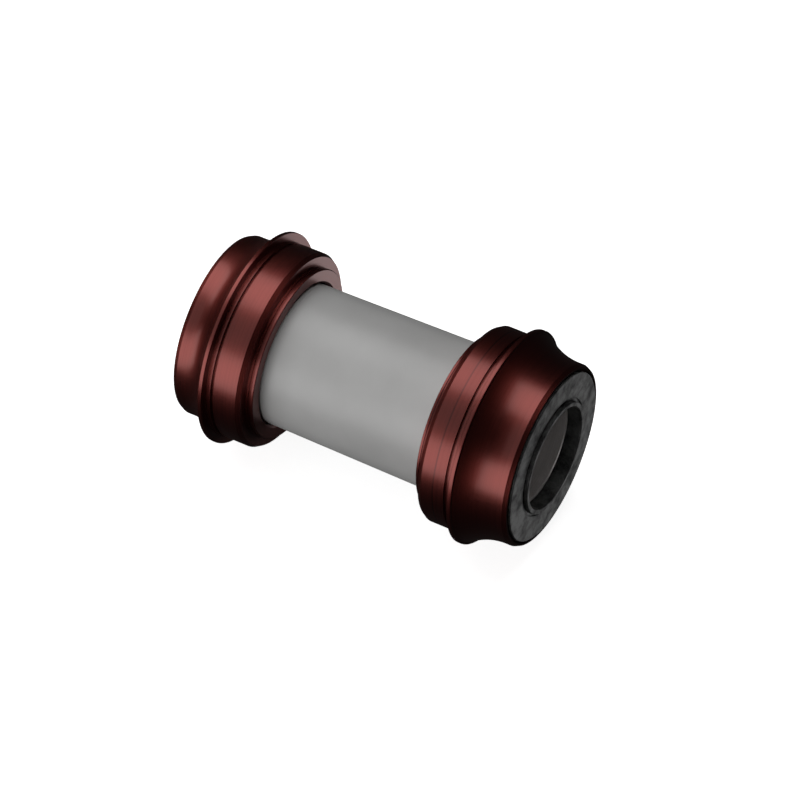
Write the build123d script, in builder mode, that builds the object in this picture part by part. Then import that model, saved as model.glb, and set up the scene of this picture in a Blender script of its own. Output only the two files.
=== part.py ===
"""Press-fit bottom bracket: two outboard bearing cups joined by a plastic sleeve.

Millimetres. The spindle axis is Y, with the drive side towards -Y and Z up.
The origin is on the spindle axis, midway between the inboard faces of the two
cup flanges, which is the middle of the frame's shell.
"""

import os
from math import sqrt

from build123d import *

os.makedirs("parts", exist_ok=True)

# ---------------------------------------------------------------- dimensions
# Frame shell and crank spindle
SHELL_BORE = 46.0
SPINDLE = 24.0

# Centre sleeve: its drive end is the wider one, because the moulding has draft
SLEEVE_LENGTH = 57.0
SLEEVE_DRAFT = 1.0
SLEEVE_WALL = 1.3
SLEEVE_END_STRAIGHT = 8.6
SLEEVE_EDGE = 0.4

# Cup outside
FLANGE_HEIGHT = 2.0
FLANGE_LEAST_OVER_NOSE = 1.5
FLANGE_WIDTH = 1.1
FLANGE_OUTER_ROUND = 0.4
FLANGE_INNER_ROUND = 0.15
NOSE_WALL = 2.75
NOSE_CHAMFER_LENGTH = 0.95
NOSE_CHAMFER_HEIGHT = 0.45
NOSE_DRIVE = 12.5
NOSE_NONDRIVE = 9.5
NOSE_STRAIGHT_DRIVE = 2.1
NOSE_STRAIGHT_NONDRIVE = 2.7
FLANGE_STEP_DRIVE = 0.14
FLANGE_STEP_NONDRIVE = 0.16
RELIEF_START = 1.05
RELIEF_WIDTH = 0.8
RELIEF_DEPTH = 0.8
SEAT_END = 7.4
SEAT_LEAD_LENGTH = 1.0
SEAT_LEAD_HEIGHT = 0.6
SPIGOT_STEP = 2.9
SPIGOT_WALL = 3.05
SPIGOT_LENGTH = 1.8
SPIGOT_ROUND = 0.2
SPIGOT_GROOVE_WIDTH = 0.7
SPIGOT_GROOVE_DEPTH = 0.3

# Cup inside
COVER_RECESS_DEPTH = 1.7
COVER_RECESS_WALL = 0.5
STOP_LIP = 0.6
SOCKET_DEPTH = 8.35
SOCKET_MOUTH_CHAMFER = 0.5
ORING_SECTION = 1.5
ORING_FROM_MOUTH = 1.65

# Bearing, 24 x 37 x 7
BEARING_OUTER = 37.0
BEARING_WIDTH = 7.0
BEARING_INSET = 2.4
BALL = 3.5
BALL_COUNT = 17
BALL_PLAY = 0.02
GROOVE_CONFORMITY = 0.53
SHOULDER_REACH = 1.35
RACE_CHAMFER = 0.3
CAGE_THICKNESS = 1.3
CAGE_SIDE = 0.55
CAGE_POCKET_PLAY = 0.12
SEAL_INSET = 0.25
SEAL_THICKNESS = 0.5
SEAL_SEAT_STEP = 0.5
SEAL_CORE_THICKNESS = 0.2

# Dust cover
COVER_THICKNESS = 1.35
COVER_PROUD = 0.35
COVER_EDGE = 0.25
COVER_GAP = 0.55
COLLAR_PROUD = 0.7
COLLAR_WALL = 1.15
COLLAR_ROUND = 0.25
COLLAR_MOAT_WIDTH = 0.6
COLLAR_MOAT_DEPTH = 0.3
LABYRINTH_WIDTH = 0.7

# Clearances
SLEEVE_CLEARANCE = 0.3
SLEEVE_END_PLAY = 0.3
ORING_CLEARANCE = 0.05
ORING_GROOVE_PLAY = 0.05
SPINDLE_CLEARANCE = 0.02
ROTOR_GAP = 0.3

# ------------------------------------------------------------------- derived
DRIVE = -1
NONDRIVE = 1

# The sleeve's straight ends stand in the cups' sockets, so its length sets the
# gap between the two flanges.
SEAT_TOTAL = SEAT_END + SEAT_LEAD_LENGTH
MOUTH = SEAT_TOTAL + SPIGOT_LENGTH
SOCKET_FLOOR = MOUTH - SOCKET_DEPTH
FLANGE_GAP = SLEEVE_LENGTH + 2 * (SOCKET_FLOOR + SLEEVE_END_PLAY)

SPINDLE_R = SPINDLE / 2
BEARING_R = BEARING_OUTER / 2
PITCH_R = (SPINDLE_R + BEARING_R) / 2
BALL_R = BALL / 2
GROOVE_R = GROOVE_CONFORMITY * BALL
INNER_SHOULDER_R = PITCH_R - SHOULDER_REACH
OUTER_SHOULDER_R = PITCH_R + SHOULDER_REACH
SEAT_R = SHELL_BORE / 2
NOSE_R = BEARING_R + NOSE_WALL
FLANGE_R = max(SEAT_R + FLANGE_HEIGHT, NOSE_R + FLANGE_LEAST_OVER_NOSE)
SPIGOT_R = SEAT_R - SPIGOT_STEP
SLEEVE_DRIVE_R = SPIGOT_R - SPIGOT_WALL
SLEEVE_NONDRIVE_R = SLEEVE_DRIVE_R - SLEEVE_DRAFT / 2
STOP_R = OUTER_SHOULDER_R - STOP_LIP
COVER_RECESS_R = NOSE_R - NOSE_CHAMFER_HEIGHT - COVER_RECESS_WALL
COVER_R = COVER_RECESS_R - COVER_GAP
HUB_BORE_R = SPINDLE_R + SPINDLE_CLEARANCE
COLLAR_R = HUB_BORE_R + COLLAR_WALL
SEAL_INNER_R = INNER_SHOULDER_R + ROTOR_GAP
SEAL_OUTER_R = OUTER_SHOULDER_R + SEAL_SEAT_STEP
SEAL_SEAT_DEPTH = SEAL_INSET + SEAL_THICKNESS

NOSE = {DRIVE: NOSE_DRIVE, NONDRIVE: NOSE_NONDRIVE}
FLANGE_STEP = {DRIVE: FLANGE_STEP_DRIVE, NONDRIVE: FLANGE_STEP_NONDRIVE}
NOSE_STRAIGHT = {DRIVE: NOSE_STRAIGHT_DRIVE, NONDRIVE: NOSE_STRAIGHT_NONDRIVE}
SLEEVE_END_R = {DRIVE: SLEEVE_DRIVE_R, NONDRIVE: SLEEVE_NONDRIVE_R}
PREFIX = {DRIVE: "drive", NONDRIVE: "nondrive"}


def axial(side, outboard):
    """Y of a station given as a distance outboard of that side's flange face."""
    return side * (FLANGE_GAP / 2 + outboard)


def bearing_middle(side):
    """Y of the middle of that side's bearing."""
    return axial(side, NOSE[side] - BEARING_INSET - BEARING_WIDTH / 2)


def circles_at(part, radius, y):
    """Circular edges of one radius at one station."""
    found = part.edges().filter_by(GeomType.CIRCLE)
    return [e for e in found if abs(e.radius - radius) < 0.01 and abs(e.arc_center.Y - y) < 0.01]


def save(part, label):
    """Label a piece and write its STEP file."""
    part.label = label
    export_step(part, "parts/" + label + ".step")


# -------------------------------------------------------------- centre sleeve
def make_sleeve():
    half = SLEEVE_LENGTH / 2
    drive_r = SLEEVE_END_R[DRIVE]
    nondrive_r = SLEEVE_END_R[NONDRIVE]
    straight = half - SLEEVE_END_STRAIGHT
    with BuildPart() as sleeve:
        with BuildSketch(Plane.XY):
            with BuildLine():
                Polyline(
                    (drive_r - SLEEVE_WALL, -half),
                    (drive_r, -half),
                    (drive_r, -straight),
                    (nondrive_r, straight),
                    (nondrive_r, half),
                    (nondrive_r - SLEEVE_WALL, half),
                    (nondrive_r - SLEEVE_WALL, straight),
                    (drive_r - SLEEVE_WALL, -straight),
                    close=True,
                )
            make_face()
        revolve(axis=Axis.Y)
        rims = circles_at(sleeve.part, drive_r, -half) + circles_at(sleeve.part, nondrive_r, half)
        fillet(rims, SLEEVE_EDGE)
    return sleeve.part


# ------------------------------------------------------------------------ cup
def make_cup(side):
    nose = NOSE[side]
    start = nose - NOSE_STRAIGHT[side]
    # the concave flare leaves the nose tangentially and ends at the flange
    flare_run = start - FLANGE_WIDTH
    flange_step = FLANGE_STEP[side] * (FLANGE_R - NOSE_R)
    flare_end_r = FLANGE_R - flange_step
    flare_rise = flare_end_r - NOSE_R
    flare = (flare_run**2 + flare_rise**2) / (2 * flare_rise)
    middle_a = start - flare_run / 2
    middle_r = NOSE_R + flare - sqrt(flare**2 - (flare_run / 2) ** 2)
    socket_r = SLEEVE_END_R[side] + SLEEVE_CLEARANCE
    bearing_floor = nose - BEARING_INSET - BEARING_WIDTH

    def at(radius, outboard):
        return (radius, axial(side, outboard))

    with BuildPart() as cup:
        with BuildSketch(Plane.XY):
            with BuildLine():
                # nose, from the end face inboard to the flange
                Polyline(
                    at(COVER_RECESS_R, nose),
                    at(NOSE_R - NOSE_CHAMFER_HEIGHT, nose),
                    at(NOSE_R, nose - NOSE_CHAMFER_LENGTH),
                    at(NOSE_R, start),
                )
                ThreePointArc(
                    at(NOSE_R, start),
                    at(middle_r, middle_a),
                    at(flare_end_r, FLANGE_WIDTH),
                )
                # flange, seat, spigot and the inside, back to the nose
                Polyline(
                    at(flare_end_r, FLANGE_WIDTH),
                    at(FLANGE_R, FLANGE_WIDTH),
                    at(FLANGE_R, 0),
                    at(SEAT_R, 0),
                    at(SEAT_R, -SEAT_END),
                    at(SEAT_R - SEAT_LEAD_HEIGHT, -SEAT_TOTAL),
                    at(SPIGOT_R, -SEAT_TOTAL),
                    at(SPIGOT_R, -MOUTH),
                    at(socket_r, -MOUTH),
                    at(socket_r, -SOCKET_FLOOR),
                    at(STOP_R, -SOCKET_FLOOR),
                    at(STOP_R, bearing_floor),
                    at(BEARING_R, bearing_floor),
                    at(BEARING_R, nose - COVER_RECESS_DEPTH),
                    at(COVER_RECESS_R, nose - COVER_RECESS_DEPTH),
                    at(COVER_RECESS_R, nose),
                )
            make_face()
        revolve(axis=Axis.Y)

        # relief groove beside the flange
        relief_y = axial(side, -RELIEF_START - RELIEF_WIDTH / 2)
        with BuildSketch(Plane.XY):
            with Locations((SEAT_R, relief_y)):
                Rectangle(2 * RELIEF_DEPTH, RELIEF_WIDTH)
        revolve(axis=Axis.Y, mode=Mode.SUBTRACT)

        # shallow groove round the middle of the spigot
        spigot_y = axial(side, -SEAT_TOTAL - SPIGOT_LENGTH / 2)
        with BuildSketch(Plane.XY):
            with Locations((SPIGOT_R, spigot_y)):
                Rectangle(2 * SPIGOT_GROOVE_DEPTH, SPIGOT_GROOVE_WIDTH)
        revolve(axis=Axis.Y, mode=Mode.SUBTRACT)

        # groove for the O-ring that grips the sleeve
        oring_r = SLEEVE_END_R[side] + ORING_CLEARANCE + ORING_SECTION / 2
        with BuildSketch(Plane.XY):
            with Locations((oring_r, axial(side, -MOUTH + ORING_FROM_MOUTH))):
                Rectangle(ORING_SECTION + 2 * ORING_GROOVE_PLAY, ORING_SECTION + 2 * ORING_GROOVE_PLAY)
        revolve(axis=Axis.Y, mode=Mode.SUBTRACT)

        outer_round = min(FLANGE_OUTER_ROUND, flange_step * 0.6)
        fillet(circles_at(cup.part, FLANGE_R, axial(side, FLANGE_WIDTH)), outer_round)
        fillet(circles_at(cup.part, FLANGE_R, axial(side, 0)), FLANGE_INNER_ROUND)
        fillet(circles_at(cup.part, SPIGOT_R, axial(side, -MOUTH)), SPIGOT_ROUND)
        chamfer(circles_at(cup.part, socket_r, axial(side, -MOUTH)), SOCKET_MOUTH_CHAMFER)
    return cup.part


def make_oring(side):
    centre_r = SLEEVE_END_R[side] + ORING_CLEARANCE + ORING_SECTION / 2
    with BuildPart() as oring:
        with BuildSketch(Plane.XY):
            with Locations((centre_r, axial(side, -MOUTH + ORING_FROM_MOUTH))):
                Circle(ORING_SECTION / 2)
        revolve(axis=Axis.Y)
    return oring.part


# -------------------------------------------------------------------- bearing
def make_outer_race(side):
    y = bearing_middle(side)
    half = BEARING_WIDTH / 2
    seat = half - SEAL_SEAT_DEPTH
    with BuildPart() as race:
        with BuildSketch(Plane.XY):
            with BuildLine():
                Polyline(
                    (SEAL_OUTER_R, y - half),
                    (BEARING_R, y - half),
                    (BEARING_R, y + half),
                    (SEAL_OUTER_R, y + half),
                    (SEAL_OUTER_R, y + seat),
                    (OUTER_SHOULDER_R, y + seat),
                    (OUTER_SHOULDER_R, y - seat),
                    (SEAL_OUTER_R, y - seat),
                    close=True,
                )
            make_face()
            # ball groove
            with Locations((PITCH_R + BALL_R + BALL_PLAY - GROOVE_R, y)):
                Circle(GROOVE_R, mode=Mode.SUBTRACT)
        revolve(axis=Axis.Y)
        rims = circles_at(race.part, BEARING_R, y - half) + circles_at(race.part, BEARING_R, y + half)
        chamfer(rims, min(RACE_CHAMFER, (BEARING_R - SEAL_OUTER_R) / 2))
    return race.part


def make_inner_race(side):
    y = bearing_middle(side)
    half = BEARING_WIDTH / 2
    shoulder_r = INNER_SHOULDER_R
    with BuildPart() as race:
        with BuildSketch(Plane.XY):
            with Locations(((SPINDLE_R + shoulder_r) / 2, y)):
                Rectangle(shoulder_r - SPINDLE_R, BEARING_WIDTH)
            # ball groove
            with Locations((PITCH_R - BALL_R - BALL_PLAY + GROOVE_R, y)):
                Circle(GROOVE_R, mode=Mode.SUBTRACT)
        revolve(axis=Axis.Y)
        rims = circles_at(race.part, SPINDLE_R, y - half) + circles_at(race.part, SPINDLE_R, y + half)
        chamfer(rims, RACE_CHAMFER)
    return race.part


def ring_plane(side):
    """The plane of the bearing's balls, with its normal along the spindle."""
    return Plane(origin=(0, bearing_middle(side), 0), x_dir=(1, 0, 0), z_dir=(0, 1, 0))


def make_balls(side):
    with BuildPart(ring_plane(side)) as balls:
        with PolarLocations(PITCH_R, BALL_COUNT):
            Sphere(BALL_R)
    return balls.part


def make_cage(side):
    y = bearing_middle(side)
    with BuildPart() as cage:
        with BuildSketch(Plane.XY):
            with Locations((PITCH_R, y)):
                Rectangle(CAGE_THICKNESS, BALL + 2 * CAGE_SIDE)
        revolve(axis=Axis.Y)
        # one radial pocket for each ball
        with Locations(ring_plane(side)):
            with PolarLocations(PITCH_R, BALL_COUNT):
                Cylinder(
                    BALL_R + CAGE_POCKET_PLAY,
                    2 * CAGE_THICKNESS,
                    rotation=(0, 90, 0),
                    mode=Mode.SUBTRACT,
                )
    return cage.part


def seal_stations(side, outboard):
    """Outer face and inner face of one seal, as Y."""
    y = bearing_middle(side)
    direction = side if outboard else -side
    face = y + direction * (BEARING_WIDTH / 2 - SEAL_INSET)
    return face, face - direction * SEAL_THICKNESS


def make_seal(side, outboard):
    outer_face, inner_face = seal_stations(side, outboard)
    step = SEAL_CORE_THICKNESS * (1 if outer_face > inner_face else -1)
    with BuildPart() as seal:
        with BuildSketch(Plane.XY):
            with BuildLine():
                Polyline(
                    (SEAL_INNER_R, outer_face),
                    (SEAL_OUTER_R, outer_face),
                    (SEAL_OUTER_R, inner_face),
                    (SEAL_OUTER_R - 0.3, inner_face),
                    (SEAL_OUTER_R - 0.3, inner_face + step),
                    (SEAL_INNER_R + 0.4, inner_face + step),
                    (SEAL_INNER_R + 0.4, inner_face),
                    (SEAL_INNER_R, inner_face),
                    close=True,
                )
            make_face()
        revolve(axis=Axis.Y)
    return seal.part


def make_seal_core(side, outboard):
    outer_face, inner_face = seal_stations(side, outboard)
    step = SEAL_CORE_THICKNESS * (1 if outer_face > inner_face else -1)
    inner_r = SEAL_INNER_R + 0.4
    outer_r = SEAL_OUTER_R - 0.3
    with BuildPart() as core:
        with BuildSketch(Plane.XY):
            with Locations(((inner_r + outer_r) / 2, inner_face + step / 2)):
                Rectangle(outer_r - inner_r, SEAL_CORE_THICKNESS)
        revolve(axis=Axis.Y)
    return core.part


# ----------------------------------------------------------------- dust cover
def make_dust_cover(side):
    nose = NOSE[side]
    top = nose + COVER_PROUD
    back = top - COVER_THICKNESS
    race_face = nose - BEARING_INSET
    hub_r = INNER_SHOULDER_R - 0.2
    moat_r = COLLAR_R + COLLAR_MOAT_WIDTH
    rib_outer = BEARING_R - ROTOR_GAP - 0.05
    rib_inner = rib_outer - LABYRINTH_WIDTH
    rib_end = race_face + ROTOR_GAP

    def at(radius, outboard):
        return (radius, axial(side, outboard))

    with BuildPart() as cover:
        with BuildSketch(Plane.XY):
            with BuildLine():
                Polyline(
                    at(HUB_BORE_R, top + COLLAR_PROUD),
                    at(COLLAR_R, top + COLLAR_PROUD),
                    at(COLLAR_R, top - COLLAR_MOAT_DEPTH),
                    at(moat_r, top - COLLAR_MOAT_DEPTH),
                    at(moat_r, top),
                    at(COVER_R, top),
                    at(COVER_R, back),
                    at(rib_outer, back),
                    at(rib_outer, rib_end),
                    at(rib_inner, rib_end),
                    at(rib_inner, back),
                    at(hub_r, back),
                    at(hub_r, race_face),
                    at(HUB_BORE_R, race_face),
                    close=True,
                )
            make_face()
        revolve(axis=Axis.Y)
        fillet(circles_at(cover.part, COVER_R, axial(side, top)), COVER_EDGE)
        collar = circles_at(cover.part, COLLAR_R, axial(side, top + COLLAR_PROUD))
        collar += circles_at(cover.part, HUB_BORE_R, axial(side, top + COLLAR_PROUD))
        fillet(collar, COLLAR_ROUND)
        fillet(circles_at(cover.part, moat_r, axial(side, top)), COLLAR_ROUND)
    return cover.part


# -------------------------------------------------------------------- export
save(make_sleeve(), "centre_sleeve")
for each_side in (DRIVE, NONDRIVE):
    prefix = PREFIX[each_side]
    save(make_cup(each_side), prefix + "_cup")
    save(make_oring(each_side), prefix + "_sleeve_oring")
    save(make_outer_race(each_side), prefix + "_outer_race")
    save(make_inner_race(each_side), prefix + "_inner_race")
    save(make_balls(each_side), prefix + "_balls")
    save(make_cage(each_side), prefix + "_cage")
    save(make_seal(each_side, True), prefix + "_outboard_seal")
    save(make_seal_core(each_side, True), prefix + "_outboard_seal_core")
    save(make_seal(each_side, False), prefix + "_inboard_seal")
    save(make_seal_core(each_side, False), prefix + "_inboard_seal_core")
    save(make_dust_cover(each_side), prefix + "_dust_cover")
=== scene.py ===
"""Looks for the press-fit bottom bracket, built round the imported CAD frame.

Metres, the CAD's frame: the spindle axis is Y, the drive side is towards -Y, +Z is up.
"""

import math

import bmesh
import bpy
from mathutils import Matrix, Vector


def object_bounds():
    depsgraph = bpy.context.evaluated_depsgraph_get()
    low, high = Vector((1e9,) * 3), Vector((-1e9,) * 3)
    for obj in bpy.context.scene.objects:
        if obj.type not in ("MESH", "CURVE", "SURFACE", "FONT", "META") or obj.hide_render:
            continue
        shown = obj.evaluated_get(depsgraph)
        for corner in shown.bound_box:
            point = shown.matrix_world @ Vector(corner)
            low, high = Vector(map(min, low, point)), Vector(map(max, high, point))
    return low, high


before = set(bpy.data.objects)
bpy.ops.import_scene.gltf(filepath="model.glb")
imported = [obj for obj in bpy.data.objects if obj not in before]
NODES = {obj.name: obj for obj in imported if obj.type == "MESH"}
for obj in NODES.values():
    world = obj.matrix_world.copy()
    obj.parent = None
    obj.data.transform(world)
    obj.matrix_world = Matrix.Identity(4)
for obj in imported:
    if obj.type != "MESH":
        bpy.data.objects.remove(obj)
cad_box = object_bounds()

MM = 0.001
LOW, HIGH = cad_box
MIDDLE = (LOW + HIGH) / 2

# ---------------------------------------------------------------- camera

VIEW_AZIMUTH = -60.75       # degrees
VIEW_ELEVATION = 46.15
VIEW_DISTANCE = 1104.0 * MM
VIEW_LENS = 225.7           # mm, on a sensor this wide
VIEW_SENSOR = 36.0
VIEW_CLIP = (0.05, 50.0)
AIM_RIGHT = 3.38 * MM       # the view axis passes this far right of the object's middle
AIM_UP = -2.35 * MM


def view_axes(azimuth, elevation):
    """Right, up and back vectors of a level camera."""
    a = math.radians(azimuth)
    e = math.radians(elevation)
    back = Vector((math.sin(a) * math.cos(e), -math.cos(a) * math.cos(e), math.sin(e)))
    right = Vector((math.cos(a), math.sin(a), 0))
    return right, back.cross(right), back


def add_camera():
    right, up, back = view_axes(VIEW_AZIMUTH, VIEW_ELEVATION)
    data = bpy.data.cameras.new("camera")
    data.lens = VIEW_LENS
    data.sensor_width = VIEW_SENSOR
    data.clip_start, data.clip_end = VIEW_CLIP
    camera = bpy.data.objects.new("camera", data)
    camera.location = MIDDLE + right * AIM_RIGHT + up * AIM_UP + back * VIEW_DISTANCE
    camera.rotation_mode = "QUATERNION"
    camera.rotation_quaternion = (-back).to_track_quat("-Z", "Y")
    bpy.context.scene.collection.objects.link(camera)
    bpy.context.scene.camera = camera


# ---------------------------------------------------------------- node helpers


class Tree:
    """A material's node tree, with short calls for the nodes used here."""

    def __init__(self, name):
        self.material = bpy.data.materials.new(name)
        self.material.use_nodes = True
        self.nodes = self.material.node_tree.nodes
        self.links = self.material.node_tree.links
        self.shader = self.nodes["Principled BSDF"]
        coords = self.nodes.new("ShaderNodeTexCoord")
        self.object_coords = coords.outputs["Object"]

    def link(self, value, socket):
        """Links another node's output, or sets a constant."""
        if isinstance(value, bpy.types.NodeSocket):
            self.links.new(value, socket)
        else:
            socket.default_value = value

    def math(self, operation, first, second=0.0):
        node = self.nodes.new("ShaderNodeMath")
        node.operation = operation
        self.link(first, node.inputs[0])
        self.link(second, node.inputs[1])
        return node.outputs[0]

    def split(self, vector):
        node = self.nodes.new("ShaderNodeSeparateXYZ")
        self.link(vector, node.inputs[0])
        return node.outputs

    def join(self, x, y, z):
        node = self.nodes.new("ShaderNodeCombineXYZ")
        self.link(x, node.inputs[0])
        self.link(y, node.inputs[1])
        self.link(z, node.inputs[2])
        return node.outputs[0]

    def noise(self, vector, scale, detail=2.0, roughness=0.5):
        node = self.nodes.new("ShaderNodeTexNoise")
        self.link(vector, node.inputs["Vector"])
        node.inputs["Scale"].default_value = scale
        node.inputs["Detail"].default_value = detail
        node.inputs["Roughness"].default_value = roughness
        return node.outputs["Fac"]

    def spread(self, value, low, high, to_low=0.0, to_high=1.0):
        """value's range low..high carried to to_low..to_high and clamped there."""
        node = self.nodes.new("ShaderNodeMapRange")
        self.link(value, node.inputs["Value"])
        self.link(low, node.inputs["From Min"])
        self.link(high, node.inputs["From Max"])
        self.link(to_low, node.inputs["To Min"])
        self.link(to_high, node.inputs["To Max"])
        return node.outputs["Result"]

    def mix(self, factor, first, second):
        """Mixes two colours. The node has a set of sockets per data type; 6, 7 and 2 are colour."""
        node = self.nodes.new("ShaderNodeMix")
        node.data_type = "RGBA"
        self.link(factor, node.inputs[0])
        self.link(first, node.inputs[6])
        self.link(second, node.inputs[7])
        return node.outputs[2]

    def bump(self, height, distance):
        node = self.nodes.new("ShaderNodeBump")
        node.inputs["Distance"].default_value = distance
        self.link(height, node.inputs["Height"])
        self.links.new(node.outputs["Normal"], self.shader.inputs["Normal"])

    def set(self, **values):
        """Sets sockets of the shader: base_color=..., coat_weight=..., and so on."""
        names = {key.lower().replace(" ", "_"): key for key in self.shader.inputs.keys()}
        for key, value in values.items():
            self.link(value, self.shader.inputs[names[key]])

    def turned(self):
        """(distance from the spindle axis, position along it) of the shaded point."""
        x, y, z = self.split(self.object_coords)
        squares = self.math("ADD", self.math("MULTIPLY", x, x), self.math("MULTIPLY", z, z))
        return self.math("SQRT", squares), y

    def grooved_round_axis(self, anisotropy):
        """Highlights spread across the lathe's grooves, which run round the spindle axis."""
        tangent = self.nodes.new("ShaderNodeTangent")
        tangent.direction_type = "RADIAL"
        tangent.axis = "Y"
        self.links.new(tangent.outputs["Tangent"], self.shader.inputs["Tangent"])
        self.set(anisotropic=anisotropy, anisotropic_rotation=0.25)

    def lathe_lines(self, pitch):
        """Noise that is the same all the way round, like the marks of a lathe tool."""
        radius, along = self.turned()
        return self.noise(self.join(radius, along, 0.0), 1.0 / pitch, detail=3.0, roughness=0.7)


def rgb(red, green, blue):
    return (red, green, blue, 1.0)


# ---------------------------------------------------------------- materials

# The part of a noise texture's range that is stretched over a material's own range
NARROW = (0.35, 0.65)
WIDE = (0.3, 0.7)
PATCHY = (0.36, 0.62)

BURGUNDY_DARK = rgb(0.138, 0.020, 0.015)
BURGUNDY_LIGHT = rgb(0.178, 0.028, 0.021)
BURGUNDY_LINE = rgb(0.05, 0.006, 0.005)
LATHE_PITCH = 0.35 * MM
LATHE_DEPTH = 0.003 * MM
LATHE_ANISOTROPY = 0.4
LATHE_SHARE = 0.6           # of the anodising's tone; the rest is cloudy
DYE_CLOUDS = 90.0           # noise scales, per metre
MOULD_CLOUDS = 70.0
PAPER_CLOUDS = 30.0
MOULD_GRAIN = 0.5 * MM
MOULD_DEPTH = 0.01 * MM
SPARK_GRAIN = 0.35 * MM
SPARK_PATCH = 3.2 * MM
SPARK_DEPTH = 0.012 * MM
GRINDING_PITCH = 0.2 * MM
GRINDING_DEPTH = 0.002 * MM

# Faint line round the drive cup's seat
SEAT_LINE = -26.2 * MM      # along the spindle
SEAT_LINE_WIDTH = 0.22 * MM  # from its middle to where it has faded out
SEAT_LINE_CORE = 0.4        # of that width, at full strength
SEAT_LINE_STRENGTH = 0.65


def anodised(name, line_at=None):
    """Burgundy anodised aluminium, fine turned. line_at is where a faint line runs round a seat."""
    t = Tree(name)
    lines = t.lathe_lines(LATHE_PITCH)
    cloud = t.noise(t.object_coords, DYE_CLOUDS, detail=3.0)
    tone = t.math(
        "ADD", t.math("MULTIPLY", lines, LATHE_SHARE), t.math("MULTIPLY", cloud, 1 - LATHE_SHARE))
    colour = t.mix(t.spread(tone, *NARROW), BURGUNDY_DARK, BURGUNDY_LIGHT)
    if line_at is not None:
        _, along = t.turned()
        away = t.math("ABSOLUTE", t.math("SUBTRACT", along, line_at))
        on_line = t.spread(
            away, SEAT_LINE_WIDTH * SEAT_LINE_CORE, SEAT_LINE_WIDTH, SEAT_LINE_STRENGTH, 0.0)
        colour = t.mix(on_line, colour, BURGUNDY_LINE)
    t.set(
        base_color=colour,
        metallic=1.0,
        roughness=t.spread(tone, *NARROW, 0.35, 0.41),
        coat_weight=0.5,
        coat_roughness=0.25,
        coat_ior=1.6,
    )
    t.grooved_round_axis(LATHE_ANISOTROPY)
    t.bump(lines, LATHE_DEPTH)
    return t.material


def moulded(name, dark, light, roughness):
    """Plastic or rubber with the fine, even grain of its mould."""
    t = Tree(name)
    fine = t.noise(t.object_coords, 1.0 / MOULD_GRAIN, detail=4.0, roughness=0.6)
    cloud = t.noise(t.object_coords, MOULD_CLOUDS, detail=3.0)
    t.set(
        base_color=t.mix(t.spread(cloud, *NARROW), dark, light),
        roughness=t.spread(fine, *WIDE, roughness - 0.05, roughness + 0.05),
    )
    t.bump(fine, MOULD_DEPTH)
    return t.material


def mottled(name, dark, light):
    """Black moulded plastic with the cloudy, slightly worn skin of a spark-eroded mould."""
    t = Tree(name)
    fine = t.noise(t.object_coords, 1.0 / SPARK_GRAIN, detail=3.0, roughness=0.6)
    patches = t.noise(t.object_coords, 1.0 / SPARK_PATCH, detail=5.0, roughness=0.62)
    t.set(
        base_color=t.mix(t.spread(patches, *PATCHY), dark, light),
        roughness=t.spread(patches, *PATCHY, 0.58, 0.44),
        specular_ior_level=t.spread(patches, *PATCHY, 0.25, 0.85),
    )
    t.bump(fine, SPARK_DEPTH)
    return t.material


def steel(name, dark, light, roughness, metallic=1.0):
    """Ground steel. With metallic below 1 it looks paler and duller, as a worn bore does."""
    t = Tree(name)
    lines = t.lathe_lines(GRINDING_PITCH)
    t.set(
        base_color=t.mix(t.spread(lines, *WIDE), dark, light),
        metallic=metallic,
        roughness=t.spread(lines, *WIDE, roughness - 0.05, roughness + 0.07),
    )
    t.bump(lines, GRINDING_DEPTH)
    return t.material


MATERIALS = {
    "nondrive_cup": anodised("anodised_aluminium"),
    "drive_cup": anodised("anodised_aluminium_lined", SEAT_LINE),
    "sleeve": moulded("sleeve_plastic", rgb(0.450, 0.449, 0.444), rgb(0.490, 0.489, 0.484), 0.38),
    "cover": mottled("cover_plastic", rgb(0.012, 0.012, 0.012), rgb(0.036, 0.037, 0.035)),
    "rubber": moulded("oring_rubber", rgb(0.010, 0.010, 0.010), rgb(0.016, 0.016, 0.016), 0.6),
    "seal": moulded("seal_rubber", rgb(0.012, 0.012, 0.013), rgb(0.020, 0.019, 0.018), 0.55),
    "cage": moulded("cage_plastic", rgb(0.30, 0.27, 0.20), rgb(0.38, 0.34, 0.26), 0.45),
    "race": steel("bearing_steel", rgb(0.40, 0.37, 0.36), rgb(0.52, 0.49, 0.48), 0.34, metallic=0.6),
    "balls": steel("ball_steel", rgb(0.60, 0.60, 0.61), rgb(0.66, 0.66, 0.67), 0.10),
    "core": steel("core_steel", rgb(0.36, 0.36, 0.36), rgb(0.44, 0.44, 0.44), 0.35),
}
FINISH = {
    "centre_sleeve": "sleeve",
    "sleeve_oring": "rubber",
    "outer_race": "race",
    "inner_race": "race",
    "balls": "balls",
    "cage": "cage",
    "outboard_seal": "seal",
    "inboard_seal": "seal",
    "outboard_seal_core": "core",
    "inboard_seal_core": "core",
    "dust_cover": "cover",
}


def paint():
    """Each cup has a material of its own, and every other node the one for its kind."""
    for name, node in NODES.items():
        kind = name.removeprefix("nondrive_").removeprefix("drive_")
        node.data.materials.clear()
        node.data.materials.append(MATERIALS.get(name) or MATERIALS[FINISH[kind]])


# ---------------------------------------------------------------- backdrop

FLOOR_FLAT = 2.0            # radius of the flat floor
FLOOR_SWEEP = 1.0           # radius of the curve up to the wall
FLOOR_SWEEP_STEPS = 12
FLOOR_SIDES = 96
WALL_HEIGHT = 3.0
PAPER_GLOW = 0.88


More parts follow.
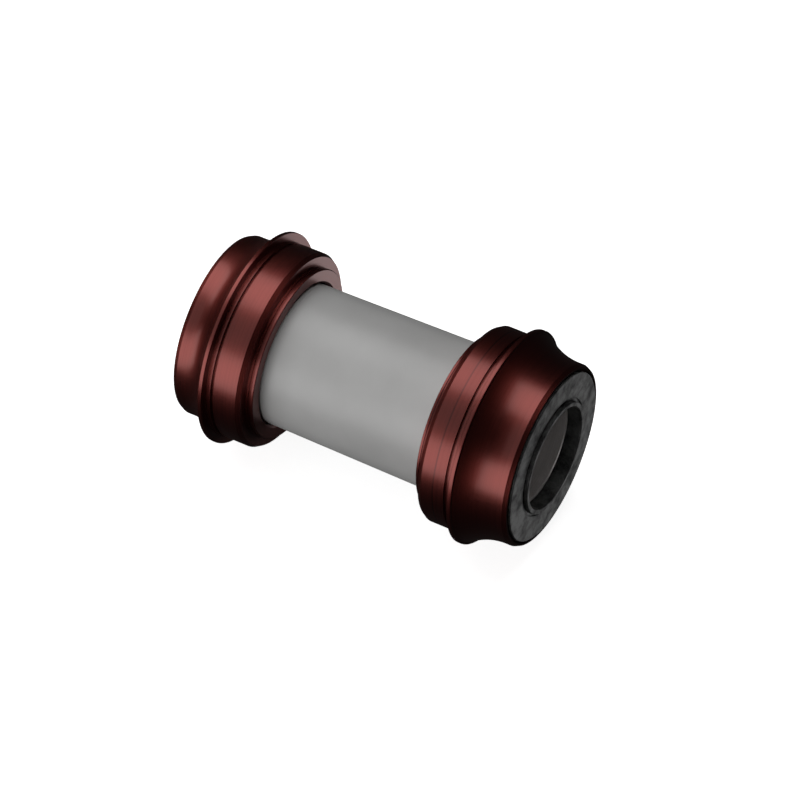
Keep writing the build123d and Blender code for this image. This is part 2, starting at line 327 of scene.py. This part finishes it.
def add_backdrop():
    """A round floor that curves up into a wall, seen by the camera only."""
    profile = [Vector((0, 0, 0)), Vector((FLOOR_FLAT, 0, 0))]
    for step in range(1, FLOOR_SWEEP_STEPS + 1):
        turn = math.radians(90 / FLOOR_SWEEP_STEPS * step)
        across = FLOOR_FLAT + FLOOR_SWEEP * math.sin(turn)
        profile.append(Vector((across, 0, FLOOR_SWEEP * (1 - math.cos(turn)))))
    profile.append(Vector((FLOOR_FLAT + FLOOR_SWEEP, 0, WALL_HEIGHT)))
    mesh = bmesh.new()
    verts = [mesh.verts.new(point) for point in profile]
    edges = [mesh.edges.new(pair) for pair in zip(verts, verts[1:])]
    bmesh.ops.spin(
        mesh, geom=verts + edges, cent=(0, 0, 0), axis=(0, 0, 1),
        angle=math.tau, steps=FLOOR_SIDES, use_merge=True)
    bmesh.ops.remove_doubles(mesh, verts=mesh.verts[:], dist=0.01 * MM)
    bmesh.ops.recalc_face_normals(mesh, faces=mesh.faces[:])
    data = bpy.data.meshes.new("floor")
    mesh.to_mesh(data)
    mesh.free()
    data.shade_smooth()
    floor = bpy.data.objects.new("floor", data)
    floor.location = (MIDDLE.x, MIDDLE.y, LOW.z)
    bpy.context.scene.collection.objects.link(floor)
    floor.visible_diffuse = False
    floor.visible_glossy = False
    floor.visible_transmission = False
    floor.visible_shadow = False
    t = Tree("floor_paper")
    cloud = t.noise(t.object_coords, PAPER_CLOUDS)
    t.set(
        base_color=t.mix(cloud, rgb(0.80, 0.80, 0.80), rgb(0.83, 0.83, 0.83)),
        roughness=0.9,
        specular_ior_level=0.0,
        emission_color=rgb(1.0, 1.0, 1.0),
        emission_strength=PAPER_GLOW,
    )
    data.materials.append(t.material)


# ---------------------------------------------------------------- light

# What a turned surface round the spindle mirrors to the camera leans towards +Y by this much,
# as a sine. A soft box stands there on each side of the camera.
MIRROR_LEAN = 0.34
SOFTBOX_RADIANCE = 2.0
SOFTBOX_DISTANCE = 0.7
SOFTBOX_LENGTH = 1.1
WORLD_RADIANCE = 0.012

# Flat faces turned to the drive side mirror what is below and behind the object. The covers get a
# large card there, and the far cup a small one so close that only the upper part of its faces shows it.
UNDER_CARD = (0.66, -0.37, -0.65)
FACE_CARD = (0.824, -0.062, -0.563)


def add_light(name, direction, distance, across, along, radiance):
    """A rectangle in that direction from the object's middle, with its length along the spindle."""
    data = bpy.data.lights.new(name, "AREA")
    data.shape = "RECTANGLE"
    data.size = across
    data.size_y = along
    data.energy = radiance * math.pi * across * along
    light = bpy.data.objects.new(name, data)
    back = Vector(direction).normalized()
    side = Vector((0, 1, 0)).cross(back).normalized()
    lengthways = back.cross(side).normalized()
    place = MIDDLE + back * distance
    matrix = light.matrix_world.copy()
    for row in range(3):
        matrix[row][:] = side[row], lengthways[row], back[row], place[row]
    light.matrix_world = matrix
    light.visible_camera = False
    bpy.context.scene.collection.objects.link(light)
    return light


def light_only(light, words):
    """Lets the light fall only on nodes whose names hold one of the words."""
    lit = bpy.data.collections.new("lit_by_" + light.name)
    for name, node in NODES.items():
        if any(word in name for word in words):
            lit.objects.link(node)
    light.light_linking.receiver_collection = lit


def round_the_axis(turn, lean):
    """The direction at that turn round the spindle from the camera's side, leaning towards +Y by lean."""
    _, _, back = view_axes(VIEW_AZIMUTH, VIEW_ELEVATION)
    out = Vector((back.x, 0, back.z)).normalized()
    side = out.cross(Vector((0, 1, 0)))
    if side.z < 0:
        side = -side
    flat = out * math.cos(turn) + side * math.sin(turn)
    return flat * math.sqrt(1 - lean * lean) + Vector((0, lean, 0))


def add_lights():
    for name, turn, across in (("upper_softbox", 0.86, 0.54), ("lower_softbox", -0.85, 0.52)):
        add_light(
            name, round_the_axis(turn, MIRROR_LEAN), SOFTBOX_DISTANCE,
            across, SOFTBOX_LENGTH, SOFTBOX_RADIANCE)
    add_light(
        "front_panel", round_the_axis(0.0, 0.36), distance=1.2, across=1.0, along=0.7, radiance=0.50)
    under_card = add_light(
        "under_card", UNDER_CARD, distance=0.8, across=0.7, along=0.7, radiance=0.60)
    light_only(under_card, ("cover",))
    face_card = add_light(
        "face_card", FACE_CARD, distance=0.078, across=0.05, along=0.05, radiance=0.85)
    light_only(face_card, ("nondrive_cup",))
    bore_light = add_light(
        "bore_light", round_the_axis(0.0, -0.8), distance=0.9, across=0.8, along=0.8, radiance=1.2)
    light_only(bore_light, ("race", "seal", "cage"))
    world = bpy.data.worlds.new("world")
    bpy.context.scene.world = world
    world.use_nodes = True
    background = world.node_tree.nodes["Background"]
    background.inputs["Color"].default_value = rgb(1, 1, 1)
    background.inputs["Strength"].default_value = WORLD_RADIANCE


# ---------------------------------------------------------------- scene

add_camera()
paint()
add_backdrop()
add_lights()
bpy.context.scene.view_settings.view_transform = "Standard"
bpy.context.scene.view_settings.look = "None"
